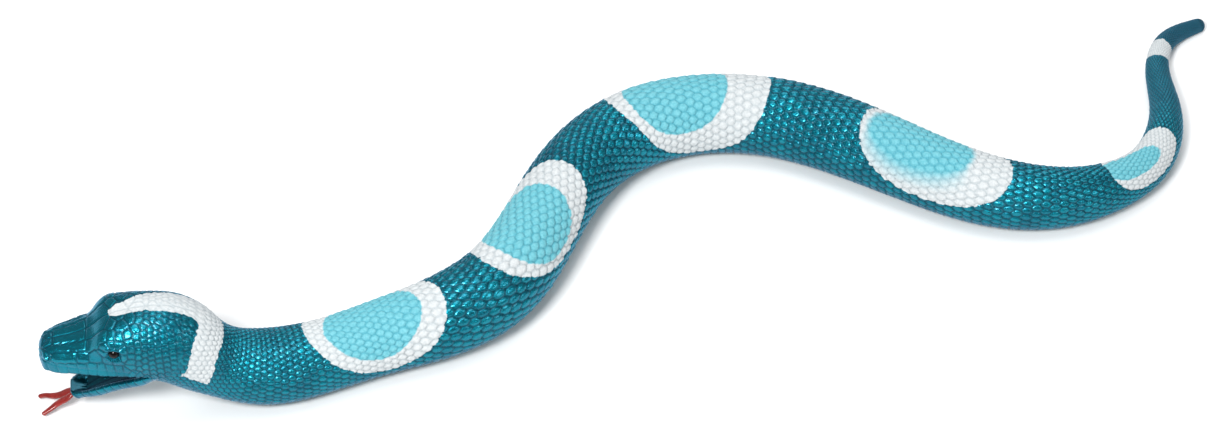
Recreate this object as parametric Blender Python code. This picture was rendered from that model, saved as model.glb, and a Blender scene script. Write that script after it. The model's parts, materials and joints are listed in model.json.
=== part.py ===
"""Soft moulded toy snake, lying in an S on its belly with its head raised and its mouth open.

The rubber body is cut into sections that turn on each other like balls in cups, and a bending
wire runs along the middle. Metres, +Z up, the head towards -X, the belly on the plane z = 0.
"""

import math

import bmesh
import bpy
import numpy as np
from mathutils import Matrix, Vector

# Driving dimensions
BELLY_FLAT = 0.0008  # how far the round body is flattened where it lies
WIRE_RADIUS = 0.00175
CLEARANCE = 0.0003  # around the wire, the eyes and the tongue
SECTION_TAPER = 1.15  # above 1, the sections get shorter towards the tail
HEAD_SPINE = 0.038  # length of spine that belongs to the head
BALL_FACTOR = 1.12  # a ball end's radius over the body's radius there
BALL_GAP = 0.0009  # between a ball end and the cup round it
BALL_ANGLES = (52, 38, 24, 10)  # degrees from the axis to the rings of a ball end
RING_STEP = 0.010  # between the rings of a section
WIRE_SET_BACK = 0.0012  # of a wire's end from the surface of the ball or cup
BORE_MARGIN = 0.012  # how far a bore's cutter runs past the wire
BODY_SIDES = 16
WIRE_SIDES = 8

# The rubber sections from the head to the tail, and the one that the others hang from
SECTIONS = ["neck"] + [f"body_{i:02d}" for i in range(1, 10)] + ["tail_01", "tail_02", "tail_03", "tail_tip"]
ROOT = "body_05"
WITHOUT_WIRE = ["tail_03", "tail_tip"]

# The spine from the skull to the tail tip: x, y, height above where it would lie, radius
SPINE = [
    (-0.2430, -0.1240, 0.0258, 0.0205),
    (-0.2310, -0.1228, 0.0233, 0.0212),
    (-0.2190, -0.1220, 0.0158, 0.0191),
    (-0.2060, -0.1205, 0.0079, 0.0172),
    (-0.1900, -0.1185, 0.0014, 0.0181),
    (-0.1600, -0.1100, 0.0, 0.0176),
    (-0.1330, -0.0983, 0.0, 0.0180),
    (-0.1050, -0.0870, 0.0, 0.0197),
    (-0.0810, -0.0700, 0.0, 0.0206),
    (-0.0630, -0.0400, 0.0, 0.0199),
    (-0.0500, -0.0075, 0.0, 0.0195),
    (-0.0330, 0.0230, 0.0, 0.0199),
    (-0.0070, 0.0452, 0.0, 0.0203),
    (0.0265, 0.0553, 0.0, 0.0199),
    (0.0610, 0.0525, 0.0, 0.0199),
    (0.0980, 0.0373, 0.0, 0.0196),
    (0.1330, 0.0175, 0.0, 0.0185),
    (0.1650, 0.0028, 0.0, 0.0175),
    (0.1990, -0.0002, 0.0, 0.0153),
    (0.2270, 0.0100, 0.0, 0.0125),
    (0.2460, 0.0255, 0.0, 0.0107),
    (0.2575, 0.0476, 0.0, 0.0095),
    (0.2614, 0.0770, 0.0, 0.0075),
    (0.2608, 0.1060, 0.0, 0.0059),
    (0.2685, 0.1270, 0.0, 0.0050),
    (0.2855, 0.1395, 0.0, 0.0037),
]

# The head's own frame: x forward from the jaw's hinge, y to the snake's left, z up from the floor
HEAD_YAW = math.radians(185.0)
HINGE_AT = Vector((-0.2360, -0.1234, 0.0))
HINGE_HEIGHT = 0.0322
HINGE_RADIUS = 0.0055
JAW_OPEN = math.radians(30.5)
LIP_HEIGHT = 0.0380
LIP_GAP = 0.0008
EYE_RADIUS = 0.0028
EYE_AT = (0.0190, 0.0157, 0.0525)
HEAD_WIRE = 0.020  # how far the wire runs into the head along the spine

# Rings of the head: x, half width, top, bottom
HEAD_RINGS = [
    (0.0545, 0.0035, 0.0465, 0.0405),
    (0.0530, 0.0070, 0.0485, 0.0370),
    (0.0470, 0.0105, 0.0505, 0.0330),
    (0.0370, 0.0130, 0.0535, 0.0300),
    (0.0270, 0.0158, 0.0590, 0.0280),
    (0.0180, 0.0182, 0.0625, 0.0270),
]

# Rings of the lower jaw when shut: x, half width, top, bottom
JAW_TOP = LIP_HEIGHT - LIP_GAP
JAW_RINGS = [
    (0.0462, 0.0040, JAW_TOP + 0.0005, 0.0330),
    (0.0445, 0.0060, JAW_TOP + 0.0007, 0.0317),
    (0.0375, 0.0085, JAW_TOP + 0.0009, 0.0304),
    (0.0245, 0.0120, JAW_TOP + 0.0012, 0.0290),
    (0.0115, 0.0150, JAW_TOP + 0.0006, 0.0275),
]
HINGE_ANGLES = (90, 60, 30, 8)  # degrees from behind the hinge to the rings of the jaw's round end
HINGE_WIDTH = 0.0165

# Tongue: forked outline in its own frame, x forward from the joint at its root, y to the side
TONGUE_THICKNESS = 0.0020
TONGUE_ROOT = (0.0446, 0.0, 0.0350)
TONGUE_DROOP = math.radians(0.5)
TONGUE_SWING = math.radians(12.0)  # room for the tongue above and below, in the jaw's notch
TONGUE_OUTLINE = [
    (0.0, 0.0021),
    (0.0026, 0.0021),
    (0.0045, 0.0036),
    (0.0065, 0.0041),
    (0.0100, 0.0041),
    (0.0135, 0.0050),
    (0.0175, 0.0066),
    (0.0203, 0.0077),
    (0.0212, 0.0060),
    (0.0180, 0.0036),
    (0.0150, 0.0),
]

TEAL = (0.0, 0.19, 0.27, 1.0)
RED = (0.40, 0.02, 0.015, 1.0)
BLACK = (0.01, 0.012, 0.012, 1.0)
ALUMINIUM = (0.60, 0.60, 0.61, 1.0)


def clear_scene():
    for obj in list(bpy.data.objects):
        bpy.data.objects.remove(obj, do_unlink=True)


def new_collection(name):
    collection = bpy.data.collections.new(name)
    bpy.context.scene.collection.children.link(collection)
    return collection


def add_object(name, data, collection):
    obj = bpy.data.objects.new(name, data)
    collection.objects.link(obj)
    return obj


def give_material(obj, color, roughness, metallic):
    material = bpy.data.materials.new(obj.name)
    material.use_nodes = True
    shader = material.node_tree.nodes["Principled BSDF"]
    shader.inputs["Base Color"].default_value = color
    shader.inputs["Roughness"].default_value = roughness
    shader.inputs["Metallic"].default_value = metallic
    material.diffuse_color = color
    obj.data.materials.clear()
    obj.data.materials.append(material)


def natural_spline(knots, values):
    """Second derivatives of the natural cubic spline through the values."""
    count = len(knots)
    steps = np.diff(knots)
    matrix = np.eye(count)
    right = np.zeros_like(values)
    for i in range(1, count - 1):
        matrix[i, i - 1] = steps[i - 1]
        matrix[i, i] = 2 * (steps[i - 1] + steps[i])
        matrix[i, i + 1] = steps[i]
        slopes = (values[i + 1] - values[i]) / steps[i], (values[i] - values[i - 1]) / steps[i - 1]
        right[i] = 6 * (slopes[0] - slopes[1])
    return np.linalg.solve(matrix, right)


class Spine:
    """Smooth curve with a radius, measured along its length from the skull."""

    def __init__(self, rows):
        rows = np.array(rows)
        lying = rows[:, 3] - BELLY_FLAT
        self.values = np.column_stack([rows[:, 0], rows[:, 1], rows[:, 2] + lying, rows[:, 3]])
        chords = np.linalg.norm(np.diff(self.values[:, :3], axis=0), axis=1)
        self.knots = np.concatenate([[0.0], np.cumsum(chords)])
        self.bends = natural_spline(self.knots, self.values)
        self.fine = np.linspace(0.0, self.knots[-1], 2000)
        places = np.array([self.evaluate(knot)[:3] for knot in self.fine])
        steps = np.linalg.norm(np.diff(places, axis=0), axis=1)
        self.lengths = np.concatenate([[0.0], np.cumsum(steps)])
        self.length = self.lengths[-1]

    def evaluate(self, knot):
        i = int(np.clip(np.searchsorted(self.knots, knot) - 1, 0, len(self.knots) - 2))
        step = self.knots[i + 1] - self.knots[i]
        a = (self.knots[i + 1] - knot) / step
        b = 1 - a
        curved = ((a**3 - a) * self.bends[i] + (b**3 - b) * self.bends[i + 1]) * step**2 / 6
        return a * self.values[i] + b * self.values[i + 1] + curved

    def at(self, distance):
        """The point and the radius this far along."""
        value = self.evaluate(np.interp(distance, self.lengths, self.fine))
        return Vector(value[:3]), float(value[3])

    def frame(self, distance):
        """The point, the direction to the tail, the direction to +Y's side and the direction up."""
        step = 0.001
        low = max(distance - step, 0.0)
        high = min(distance + step, self.length)
        along = (self.at(high)[0] - self.at(low)[0]).normalized()
        side = Vector((0, 0, 1)).cross(along).normalized()
        return self.at(distance)[0], along, side, along.cross(side)


def joint_stations(spine):
    """Distances along the spine of the joints in front of each section."""
    share = np.arange(len(SECTIONS)) / len(SECTIONS)
    return HEAD_SPINE + (spine.length - HEAD_SPINE) * (1 - (1 - share) ** SECTION_TAPER)


def mesh_of(curve, name, collection):
    """Turns a curve object into a closed mesh object."""
    bpy.context.view_layer.update()
    evaluated = curve.evaluated_get(bpy.context.evaluated_depsgraph_get())
    mesh = bpy.data.meshes.new_from_object(evaluated)
    mesh.transform(curve.matrix_world)
    bpy.data.objects.remove(curve, do_unlink=True)
    bm = bmesh.new()
    bm.from_mesh(mesh)
    bmesh.ops.remove_doubles(bm, verts=bm.verts, dist=1e-6)
    bmesh.ops.recalc_face_normals(bm, faces=bm.faces)
    bm.to_mesh(mesh)
    bm.free()
    mesh.name = name
    return add_object(name, mesh, collection)


def make_tube(name, points, radii, sides, collection):
    """A closed round tube through the points, with a radius at each."""
    curve = bpy.data.curves.new(name, "CURVE")
    curve.dimensions = "3D"
    curve.bevel_depth = 1.0
    curve.bevel_resolution = (sides - 4) // 2
    curve.use_fill_caps = True
    line = curve.splines.new("POLY")
    line.points.add(len(points) - 1)
    for target, point, radius in zip(line.points, points, radii):
        target.co = (*point, 1.0)
        target.radius = radius
    return mesh_of(add_object(name + "_curve", curve, collection), name, collection)


def make_loft(name, rings, collection):
    """A closed body through rings of points, all with the same count."""
    bm = bmesh.new()
    loops = [[bm.verts.new(point) for point in ring] for ring in rings]
    for first, second in zip(loops, loops[1:]):
        for i in range(len(first)):
            j = (i + 1) % len(first)
            bm.faces.new((first[i], first[j], second[j], second[i]))
    bm.faces.new(loops[0])
    bm.faces.new(loops[-1])
    bmesh.ops.recalc_face_normals(bm, faces=bm.faces)
    mesh = bpy.data.meshes.new(name)
    bm.to_mesh(mesh)
    bm.free()
    return add_object(name, mesh, collection)


def make_ball(name, centre, radius, collection, segments=24, rings=16, pole=None):
    bm = bmesh.new()
    bmesh.ops.create_uvsphere(bm, u_segments=segments, v_segments=rings, radius=radius)
    mesh = bpy.data.meshes.new(name)
    bm.to_mesh(mesh)
    bm.free()
    if pole is not None:
        mesh.transform(pole.to_track_quat("Z", "Y").to_matrix().to_4x4())
    mesh.transform(Matrix.Translation(centre))
    return add_object(name, mesh, collection)


def make_block(name, low, high, collection):
    bm = bmesh.new()
    bmesh.ops.create_cube(bm, size=1.0)
    mesh = bpy.data.meshes.new(name)
    bm.to_mesh(mesh)
    bm.free()
    low, high = Vector(low), Vector(high)
    mesh.transform(Matrix.Translation((low + high) / 2) @ Matrix.Diagonal((*(high - low), 1.0)))
    return add_object(name, mesh, collection)


def cut(obj, cutter):
    """Takes the cutter's space out of the object."""
    cutter.hide_render = True
    cutter.display_type = "WIRE"
    modifier = obj.modifiers.new("cut_" + cutter.name, "BOOLEAN")
    modifier.operation = "DIFFERENCE"
    modifier.object = cutter


def smooth(obj):
    obj.data.shade_smooth()
    obj.data.set_sharp_from_angle(angle=math.radians(40))


def ball_end(spine, station):
    """Points and radii of a ball end that is centred on a joint, and the ball's radius."""
    centre, along, _, _ = spine.frame(station)
    radius = BALL_FACTOR * spine.at(station)[1]
    angles = [math.radians(angle) for angle in BALL_ANGLES]
    points = [centre + along * radius * math.cos(angle) for angle in angles]
    return points, [radius * math.sin(angle) for angle in angles], radius


def section_tube(name, spine, start, end, last, parts):
    """A rubber section from one joint to the next, with a ball end unless it is the last one."""
    rim = math.sqrt(BALL_FACTOR**2 - 1) * spine.at(end)[1]
    stop = end if last else end + 0.6 * rim
    count = max(3, round((stop - start) / RING_STEP))
    stations = np.linspace(start, stop, count + 1)
    points = [spine.at(station)[0] for station in stations]
    radii = [spine.at(station)[1] for station in stations]
    if last:
        tip, along, _, _ = spine.frame(end)
        tip_radius = radii[-1]
        for angle in (55, 25):
            turn = math.radians(angle)
            points.append(tip + along * tip_radius * math.cos(turn))
            radii.append(tip_radius * math.sin(turn))
    else:
        ball_points, ball_radii, _ = ball_end(spine, end)
        points += ball_points
        radii += ball_radii
    return make_tube(name, points, radii, BODY_SIDES, parts)


def add_wire(rubber, spine, start, end, before, after, parts, cutters):
    """The wire between two distances along the spine, in a bore that runs past its two ends."""
    count = max(3, round((end - start) / (1.5 * RING_STEP)))
    points = [spine.at(station)[0] for station in np.linspace(start, end, count + 1)]
    wire = make_tube("wire_" + rubber.name, points, [WIRE_RADIUS] * len(points), WIRE_SIDES, parts)
    give_material(wire, ALUMINIUM, 0.35, 1.0)
    smooth(wire)
    first = points[0] + (points[0] - points[1]).normalized() * before
    final = points[-1] + (points[-1] - points[-2]).normalized() * after
    bore = [first, *points, final]
    radii = [WIRE_RADIUS + CLEARANCE] * len(bore)
    cut(rubber, make_tube(rubber.name + "_bore", bore, radii, WIRE_SIDES, cutters))
    return wire


def make_section(index, spine, stations, parts, cutters, floor):
    """One rubber section and its wire: a cup in front, a ball behind."""
    name = SECTIONS[index]
    last = index == len(SECTIONS) - 1
    start = stations[index]
    end = spine.length if last else stations[index + 1]
    rubber = section_tube(name, spine, start, end, last, parts)
    cut(rubber, floor)
    centre, along, _, _ = spine.frame(start)
    cup_radius = BALL_FACTOR * spine.at(start)[1] + BALL_GAP
    cut(rubber, make_ball(name + "_cup", centre, cup_radius, cutters, pole=along))
    pieces = [rubber]
    if name not in WITHOUT_WIRE:
        low = start + cup_radius + WIRE_SET_BACK
        high = end + BALL_FACTOR * spine.at(end)[1] - WIRE_SET_BACK
        pieces.append(add_wire(rubber, spine, low, high, BORE_MARGIN, BORE_MARGIN, parts, cutters))
    give_material(rubber, TEAL, 0.35, 0.3)
    smooth(rubber)
    return pieces


def head_matrix():
    return Matrix.Translation(HINGE_AT) @ Matrix.Rotation(HEAD_YAW, 4, "Z")


def jaw_matrix():
    """From the shut jaw's frame to its place at rest, open."""
    hinge = Matrix.Translation((0.0, 0.0, HINGE_HEIGHT))
    return head_matrix() @ hinge @ Matrix.Rotation(JAW_OPEN, 4, "Y") @ hinge.inverted()


def oval(matrix, x, half_width, top, bottom):
    """A ring of points across the head at x."""
    middle, half_height = (top + bottom) / 2, (top - bottom) / 2
    turns = [2 * math.pi * (i + 0.5) / BODY_SIDES for i in range(BODY_SIDES)]
    return [
        matrix @ Vector((x, half_width * math.sin(turn), middle + half_height * math.cos(turn)))
        for turn in turns
    ]


def spine_ring(spine, station, point=None, radius=None):
    """A ring of points across the spine, in the same order as oval's."""
    centre, _, side, up = spine.frame(station)
    centre = centre if point is None else point
    radius = spine.at(station)[1] if radius is None else radius
    turns = [2 * math.pi * (i + 0.5) / BODY_SIDES for i in range(BODY_SIDES)]
    return [centre + radius * (math.cos(turn) * up - math.sin(turn) * side) for turn in turns]


def mouth_cutter(cutters):
    """The room under the palate and round the jaw's hinge, as an outline that is extruded sideways."""
    reach = HINGE_RADIUS + BALL_GAP
    outline = [(0.08, LIP_HEIGHT), (reach, LIP_HEIGHT)]
    rise = math.asin(min(1.0, (LIP_HEIGHT - HINGE_HEIGHT) / reach))
    for angle in np.linspace(rise, math.pi, 8):
        outline.append((reach * math.cos(angle), HINGE_HEIGHT + reach * math.sin(angle)))
    outline += [(-reach, -0.01), (0.08, -0.01)]
    curve = bpy.data.curves.new("mouth_outline", "CURVE")
    curve.dimensions = "2D"
    curve.fill_mode = "BOTH"
    curve.extrude = 0.04
    line = curve.splines.new("POLY")
    line.points.add(len(outline) - 1)
    line.use_cyclic_u = True
    for target, (x, z) in zip(line.points, outline):
        target.co = (x, z, 0.0, 1.0)
    obj = add_object("mouth_outline", curve, cutters)
    obj.matrix_world = head_matrix() @ Matrix.Rotation(math.pi / 2, 4, "X")
    return mesh_of(obj, "mouth_cutter", cutters)


def make_head(spine, joint, parts, cutters):
    rings = [oval(head_matrix(), *ring) for ring in HEAD_RINGS]
    rim = math.sqrt(BALL_FACTOR**2 - 1) * spine.at(joint)[1]
    for station in np.linspace(0.0, joint + 0.6 * rim, 6):
        rings.append(spine_ring(spine, station))
    for point, radius in zip(*ball_end(spine, joint)[:2]):
        rings.append(spine_ring(spine, joint, point, radius))
    head = make_loft("head", rings, parts)
    cut(head, mouth_cutter(cutters))
    eyes = []
    for side, name in ((1, "eye_left"), (-1, "eye_right")):
        place = head_matrix() @ Vector((EYE_AT[0], side * EYE_AT[1], EYE_AT[2]))
        socket_radius = EYE_RADIUS + CLEARANCE
        cut(head, make_ball(name + "_socket", place, socket_radius, cutters, 16, 12))
        eye = make_ball(name, place, EYE_RADIUS - 0.0002, parts, 16, 12)
        give_material(eye, BLACK, 0.1, 0.0)
        smooth(eye)
        eyes.append(eye)
    high = joint + BALL_FACTOR * spine.at(joint)[1] - WIRE_SET_BACK
    wire = add_wire(head, spine, joint - HEAD_WIRE, high, 2 * CLEARANCE, BORE_MARGIN, parts, cutters)
    give_material(head, TEAL, 0.3, 0.3)
    smooth(head)
    return [head, wire, *eyes]


def make_tongue(parts):
    """The forked tongue, from its root in the jaw to its two tips."""
    outline = TONGUE_OUTLINE + [(x, -y) for x, y in reversed(TONGUE_OUTLINE[:-1])]
    curve = bpy.data.curves.new("tongue_outline", "CURVE")
    curve.dimensions = "2D"
    curve.fill_mode = "BOTH"
    curve.extrude = TONGUE_THICKNESS / 2
    line = curve.splines.new("POLY")
    line.points.add(len(outline) - 1)
    line.use_cyclic_u = True
    for target, (x, y) in zip(line.points, outline):
        target.co = (x, y, 0.0, 1.0)
    obj = add_object("tongue_outline", curve, parts)
    obj.matrix_world = tongue_matrix()
    tongue = mesh_of(obj, "tongue", parts)
    give_material(tongue, RED, 0.3, 0.0)
    return tongue


def tongue_matrix():
    return jaw_matrix() @ Matrix.Translation(TONGUE_ROOT) @ Matrix.Rotation(TONGUE_DROOP, 4, "Y")


def tongue_notch(cutters):
    """The notch in the front of the jaw, which opens forwards so that the tongue can swing."""
    half_width = TONGUE_OUTLINE[0][1] + CLEARANCE
    half_height = TONGUE_THICKNESS / 2 + CLEARANCE
    reach = 0.007
    sizes = ((-half_height, half_height), (0.0, half_height), (reach, half_height + reach * math.tan(TONGUE_SWING)))
    rings = []
    for x, height in sizes:
        corners = ((-half_width, -height), (half_width, -height), (half_width, height), (-half_width, height))
        rings.append([tongue_matrix() @ Vector((x, y, z)) for y, z in corners])
    return make_loft("tongue_notch", rings, cutters)


def make_jaw(parts, cutters):
    rings = [oval(jaw_matrix(), *ring) for ring in JAW_RINGS]
    for angle in HINGE_ANGLES:
        turn = math.radians(angle)
        x = -HINGE_RADIUS * math.cos(turn)
        half_height = HINGE_RADIUS * math.sin(turn)
        heights = HINGE_HEIGHT + half_height, HINGE_HEIGHT - half_height
        rings.append(oval(jaw_matrix(), x, HINGE_WIDTH, *heights))
    jaw = make_loft("lower_jaw", rings, parts)
    cut(jaw, tongue_notch(cutters))
    give_material(jaw, TEAL, 0.3, 0.3)
    smooth(jaw)
    return jaw


def hang(pieces, pivot, parent, name, parts):
    """Parents pieces to an empty on their joint, which hangs from the parent's empty."""
    empty = add_object("joint_" + name, None, parts)
    empty.empty_display_size = 0.01
    origin = Vector((0, 0, 0)) if parent is None else Vector(parent["pivot"])
    empty["pivot"] = pivot
    empty.parent = parent
    empty.location = pivot - origin
    for piece in pieces:
        piece.data.transform(Matrix.Translation(-pivot))
        piece.parent = empty
    return empty


def assemble(bodies, pivots, parts):
    """Hangs the sections from the root section, forwards to the head and backwards to the tail."""
    names = ["head", *SECTIONS]
    root = names.index(ROOT)
    parent = None
    for i in range(root - 1, -1, -1):
        parent = hang(bodies[names[i]], pivots[i], parent, names[i], parts)
    head_empty = parent
    parent = None
    for i in range(root + 1, len(names)):
        parent = hang(bodies[names[i]], pivots[i - 1], parent, names[i], parts)
    return head_empty


def main():
    clear_scene()
    parts = new_collection("toy_snake")
    cutters = new_collection("toy_snake_cutters")
    spine = Spine(SPINE)
    stations = joint_stations(spine)
    floor = make_block("floor_cutter", (-0.5, -0.5, -0.1), (0.5, 0.5, 0.0), cutters)
    bodies = {"head": make_head(spine, stations[0], parts, cutters)}
    for index, name in enumerate(SECTIONS):
        bodies[name] = make_section(index, spine, stations, parts, cutters, floor)
    jaw = make_jaw(parts, cutters)
    tongue = make_tongue(parts)
    pivots = [spine.at(station)[0] for station in stations]
    head_empty = assemble(bodies, pivots, parts)
    hinge = head_matrix() @ Vector((0.0, 0.0, HINGE_HEIGHT))
    jaw_empty = hang([jaw], hinge, head_empty, "lower_jaw", parts)
    hang([tongue], tongue_matrix().translation, jaw_empty, "tongue", parts)
    cutters.hide_render = True


if __name__ == "__main__":
    main()
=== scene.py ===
"""Looks of the soft moulded toy snake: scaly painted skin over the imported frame.

The skin follows the same spine as the frame. It is one grid from the snout to the tail tip, with
columns from the back line down both sides, and it is cut into pieces in the middle of each section.
"""

import json
import math

import bpy
import numpy as np
from mathutils import Matrix, Vector

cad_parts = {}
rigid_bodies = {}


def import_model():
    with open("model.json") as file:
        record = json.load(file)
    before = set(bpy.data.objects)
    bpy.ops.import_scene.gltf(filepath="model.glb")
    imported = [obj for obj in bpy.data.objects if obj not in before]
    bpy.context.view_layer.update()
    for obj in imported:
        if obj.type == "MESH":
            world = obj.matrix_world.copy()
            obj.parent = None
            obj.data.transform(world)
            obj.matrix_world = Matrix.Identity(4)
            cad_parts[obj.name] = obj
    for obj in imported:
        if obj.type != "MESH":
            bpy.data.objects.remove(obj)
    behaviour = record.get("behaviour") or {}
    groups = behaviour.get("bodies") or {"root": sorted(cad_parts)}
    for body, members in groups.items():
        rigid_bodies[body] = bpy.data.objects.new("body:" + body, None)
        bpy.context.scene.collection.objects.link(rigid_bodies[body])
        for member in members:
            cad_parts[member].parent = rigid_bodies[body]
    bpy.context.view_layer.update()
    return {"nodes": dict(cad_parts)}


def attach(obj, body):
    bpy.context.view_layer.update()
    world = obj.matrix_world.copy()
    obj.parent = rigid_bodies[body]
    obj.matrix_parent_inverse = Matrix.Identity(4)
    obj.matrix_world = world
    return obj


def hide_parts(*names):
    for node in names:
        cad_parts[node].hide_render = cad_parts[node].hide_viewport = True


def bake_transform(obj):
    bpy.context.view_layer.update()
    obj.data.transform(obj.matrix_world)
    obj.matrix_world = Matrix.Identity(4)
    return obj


BELLY_FLAT = 0.0008
SECTION_TAPER = 1.15
HEAD_SPINE = 0.038
SECTIONS = ["neck"] + [f"body_{i:02d}" for i in range(1, 10)] + ["tail_01", "tail_02", "tail_03", "tail_tip"]
SPINE = [
    (-0.2430, -0.1240, 0.0258, 0.0205),
    (-0.2310, -0.1228, 0.0233, 0.0212),
    (-0.2190, -0.1220, 0.0158, 0.0191),
    (-0.2060, -0.1205, 0.0079, 0.0172),
    (-0.1900, -0.1185, 0.0014, 0.0181),
    (-0.1600, -0.1100, 0.0, 0.0176),
    (-0.1330, -0.0983, 0.0, 0.0180),
    (-0.1050, -0.0870, 0.0, 0.0197),
    (-0.0810, -0.0700, 0.0, 0.0206),
    (-0.0630, -0.0400, 0.0, 0.0199),
    (-0.0500, -0.0075, 0.0, 0.0195),
    (-0.0330, 0.0230, 0.0, 0.0199),
    (-0.0070, 0.0452, 0.0, 0.0203),
    (0.0265, 0.0553, 0.0, 0.0199),
    (0.0610, 0.0525, 0.0, 0.0199),
    (0.0980, 0.0373, 0.0, 0.0196),
    (0.1330, 0.0175, 0.0, 0.0185),
    (0.1650, 0.0028, 0.0, 0.0175),
    (0.1990, -0.0002, 0.0, 0.0153),
    (0.2270, 0.0100, 0.0, 0.0125),
    (0.2460, 0.0255, 0.0, 0.0107),
    (0.2575, 0.0476, 0.0, 0.0095),
    (0.2614, 0.0770, 0.0, 0.0075),
    (0.2608, 0.1060, 0.0, 0.0059),
    (0.2685, 0.1270, 0.0, 0.0050),
    (0.2855, 0.1395, 0.0, 0.0037),
]

HEAD_YAW = math.radians(185.0)
HINGE_AT = Vector((-0.2360, -0.1234, 0.0))
HINGE_HEIGHT = 0.0322
JAW_OPEN = math.radians(30.5)
SKULL_AT = 0.0070  # the head frame's x where the spine starts
MOUTH_CORNER = 0.0035  # the head frame's x where the mouth opens
EYE_AT = np.array([19.0, 16.1, 52.3])
EYE_RADIUS = 2.7
TONGUE_ROOT = (0.0446, 0.0, 0.0350)  # in the shut jaw's frame
TONGUE_DROOP = math.radians(0.5)
NEAR_PRONG, FAR_PRONG = 20.0, 22.2  # lengths in mm

# Half outlines of the head, in mm in the head's frame: x, crown z, then y and z of the crown's
# edge, the brow or canthus, the cheek and the lip
HEAD_TABLE = [
    (55.4, 42.6, 1.2, 42.4, 2.2, 41.6, 2.7, 39.8, 2.3, 37.8),
    (54.2, 45.2, 2.5, 44.9, 4.4, 43.9, 6.0, 40.8, 5.7, 35.8),
    (51.6, 47.3, 3.6, 47.1, 6.5, 45.8, 9.0, 41.8, 8.8, 35.4),
    (47.5, 48.8, 4.5, 48.6, 8.0, 47.3, 11.3, 42.9, 11.0, 35.8),
    (41.0, 50.3, 5.1, 50.1, 9.2, 48.6, 13.2, 44.1, 12.9, 36.7),
    (34.0, 52.6, 5.8, 52.4, 10.8, 50.7, 14.8, 45.4, 14.8, 37.2),
    (29.5, 55.0, 6.6, 54.9, 12.8, 52.8, 15.5, 46.0, 15.8, 37.3),
    (26.0, 58.4, 7.0, 58.5, 14.0, 56.8, 16.3, 46.8, 16.6, 37.4),
    (22.0, 61.6, 7.6, 61.7, 15.4, 59.2, 17.4, 47.6, 17.3, 37.5),
    (16.0, 63.8, 8.2, 63.6, 15.9, 59.7, 18.9, 48.2, 18.2, 37.7),
    (9.0, 65.4, 8.8, 64.8, 16.0, 59.8, 20.2, 48.2, 18.9, 37.4),
    (2.0, 66.0, 9.2, 64.8, 16.2, 59.4, 20.6, 47.6, 19.0, 36.4),
    (-8.0, 65.0, 9.2, 63.4, 16.2, 57.0, 20.8, 45.0, 19.0, 33.0),
]

SNOUT_TIP = 0.0552  # the head frame's x of the first ring
BEHIND_SKULL = -0.004  # where the rings' spacing starts to follow the scales
HEAD_STEP = 0.00046  # between rings in front of that
HEAD_BLEND = 0.0135  # the head's own outline ends here, in metres behind the skull
HEAD_RELIEF = (20.5, 12.5)  # mm behind the skull: from body scales to head shields
SPREAD_KNOTS = np.array([0.0, 0.24, 0.46, 0.78, 1.0])  # shares of the way from the crown to the lip
UNPAINTED = 5.0  # mm outside any paint

SIDE = 76  # columns from the back line to the lip or belly edge
BELLY = 20  # columns across the belly
BELLY_EDGE = math.radians(115.0)
SCALE_LENGTH = 4.5  # mm between rows along a thick body
SCALE_TURN = math.radians(13.0)  # between scales round the body
RELIEF = 0.75  # mm
THICK = 0.0195  # radius of the thick middle of the body

# Oval patches over the back: middle along the body and half length in mm, half spread round the
# body in degrees, squareness, where the spread is centred in degrees, and skew in mm per degree.
# The rows came from a least-squares fit and were then rounded and adjusted.
WHITE_PATCHES = [
    (119.6, 34.8, 104.5, 1.85, 0, 0.026),
    (221.5, 40.6, 85.0, 2.1, 0, 0.03),
    (347.9, 40.5, 112.0, 2.05, 2, 0.022),
    (478.0, 40.0, 91.5, 2.2, 0, 0.041),
    (593.9, 25.6, 78.0, 2.6, 0, 0.0),
]
BLUE_PATCHES = [
    (118.6, 24.8, 70.0, 1.8, 7, 0.0),
    (217.4, 26.4, 70.0, 2.1, 0, 0.0),
    (340.6, 26.2, 71.0, 2.2, 0, -0.014),
    (470.0, 28.0, 62.0, 2.2, 0, 0.0),
    (584.5, 18.6, 37.0, 2.6, 5, 0.04),
]
SOFT_PATCH = 470.0  # mm along the body: the patch whose blue fades into its white
TAIL_RING = 689.5  # mm along the body: the white ring near the tail tip

FLOOR_HALF = 4.0
FLOOR_Z = -0.0002  # just below the belly
LOOK_AT = Vector((-0.024, 0.001, 0.0))
CAMERA_DISTANCE = 2.0
ELEVATION = math.radians(45.0)
SENSOR, LENS = 36.0, 118.6161  # mm


# ---------------------------------------------------------------- spine


def natural_spline(knots, values):
    count = len(knots)
    steps = np.diff(knots)
    matrix = np.eye(count)
    right = np.zeros_like(values)
    for i in range(1, count - 1):
        matrix[i, i - 1] = steps[i - 1]
        matrix[i, i] = 2 * (steps[i - 1] + steps[i])
        matrix[i, i + 1] = steps[i]
        right[i] = 6 * ((values[i + 1] - values[i]) / steps[i] - (values[i] - values[i - 1]) / steps[i - 1])
    return np.linalg.solve(matrix, right)


def evaluate(knots, values, bends, wanted):
    wanted = np.asarray(wanted, float)
    i = np.clip(np.searchsorted(knots, wanted) - 1, 0, len(knots) - 2)
    step = knots[i + 1] - knots[i]
    a = (knots[i + 1] - wanted) / step
    b = 1 - a
    a, b, step = a[:, None], b[:, None], step[:, None]
    curved = ((a**3 - a) * bends[i] + (b**3 - b) * bends[i + 1]) * step**2 / 6
    return a * values[i] + b * values[i + 1] + curved


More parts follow.
